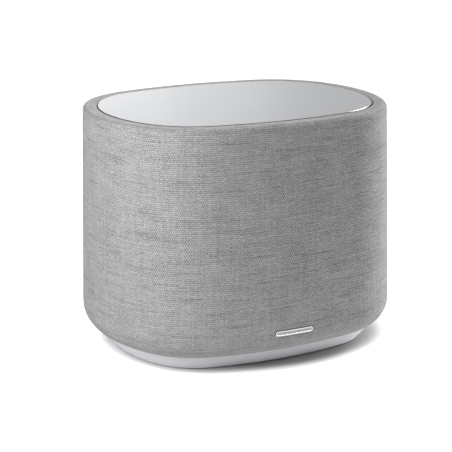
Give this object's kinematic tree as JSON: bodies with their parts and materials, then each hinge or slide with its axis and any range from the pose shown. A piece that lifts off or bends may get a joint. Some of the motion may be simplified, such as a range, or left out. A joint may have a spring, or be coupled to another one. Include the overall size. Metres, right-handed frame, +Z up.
{
  "type": "wireless bass speaker",
  "caption": "Free-standing wireless bass speaker in a woven fabric sleeve, with a satin top plate, a moulded base, a down-firing driver and rear connections.",
  "frame": {"origin": "on the floor, under the middle of the body", "axes": "+Z up, +X along the width, to the right when facing the front; the front, with the badge, faces -Y"},
  "size_m": [0.355, 0.286, 0.2724],
  "materials": {
    "woven_cover": "fine melange weave, matte",
    "top_satin": "satin face with a polished edge",
    "base_grey": "smooth satin moulding",
    "black_plastic": "fine moulded texture",
    "soft_rubber": "matte",
    "foam": "closed-cell foam tape",
    "felt": "loose felt",
    "badge_metal": "polished",
    "steel": "zinc-plated",
    "dark_screws": "black oxide",
    "basket_paint": "powder coat",
    "paper_cone": "pulp cone, matte",
    "cone_cap": "pressed cap, soft sheen",
    "resin_cloth": "resin-treated cloth",
    "former_film": "amber film",
    "copper_wire": "enamelled wire",
    "ferrite": "ground ferrite",
    "pole_steel": "black-passivated steel",
    "circuit_board": "solder mask",
    "sink_alloy": "extruded, anodised",
    "core_steel": "varnished laminations",
    "can_sleeve": "shrink sleeve",
    "clear_guide": "frosted light guide",
    "brass_pins": "nickel-flashed pins",
    "port_shell": "stamped shell",
    "lead_jacket": "round jacket",
    "tinsel": "braided tinsel",
    "panel_plastic": "fine grain",
    "bezel_plastic": "satin",
    "button_cap": "smooth"
  },
  "bodies": {
    "speaker_body": {"amp_board": "circuit_board", "antenna": "circuit_board", "antenna_lead": "lead_jacket", "back_plate": "pole_steel", "badge": "badge_metal", "badge_clips": "steel", "base_pan": "black_plastic", "base_ring": "base_grey", "base_screws": "steel", "board_screws": "steel", "cabinet_floor": "black_plastic", "cabinet_gasket": "foam", "cabinet_screws": "steel", "cabinet_tub": "black_plastic", "control_board": "circuit_board", "control_lead": "lead_jacket", "damping_wadding": "felt", "driver_basket": "basket_paint", "driver_gasket": "foam", "driver_lead": "lead_jacket", "driver_screws": "dark_screws", "driver_terminals": "circuit_board", "fabric_sleeve": "woven_cover", "filter_capacitors": "can_sleeve", "foot_ring": "soft_rubber", "front_pole_plate": "pole_steel", "grille_frame": "black_plastic", "heat_sink": "sink_alloy", "inlet_pins": "brass_pins", "mains_inlet": "black_plastic", "mains_leads": "lead_jacket", "panel_screws": "dark_screws", "plate_foam": "foam", "port_tube_left": "black_plastic", "port_tube_right": "black_plastic", "rear_bezel": "bezel_plastic", "ring_magnet": "ferrite", "service_plate": "panel_plastic", "service_port": "port_shell", "spider": "resin_cloth", "status_light_guide": "clear_guide", "surround": "soft_rubber", "tact_switch": "port_shell", "tinsel_leads": "tinsel", "top_plate": "top_satin", "top_tray": "black_plastic", "transformer_core": "core_steel", "transformer_winding": "copper_wire", "tray_screws": "steel", "wireless_module": "circuit_board"},
    "moving_cone": {"cone": "paper_cone", "dust_cap": "cone_cap", "voice_coil_former": "former_film", "voice_coil": "copper_wire"},
    "button": {"connect_button": "button_cap", "switch_plunger": "black_plastic"}
  },
  "joints": [
    {"name": "cone_drive", "type": "slide", "parent": "speaker_body", "child": "moving_cone", "axis": [0, 0, 1], "range_m": [-0.008, 0.008], "stiffness_N_per_m": 3000, "deforming": ["surround", "spider", "tinsel_leads"]},
    {"name": "connect_press", "type": "slide", "parent": "speaker_body", "child": "button", "axis": [0, -1, 0], "range_m": [0, 0.001], "stiffness_N_per_m": 600}
  ]
}
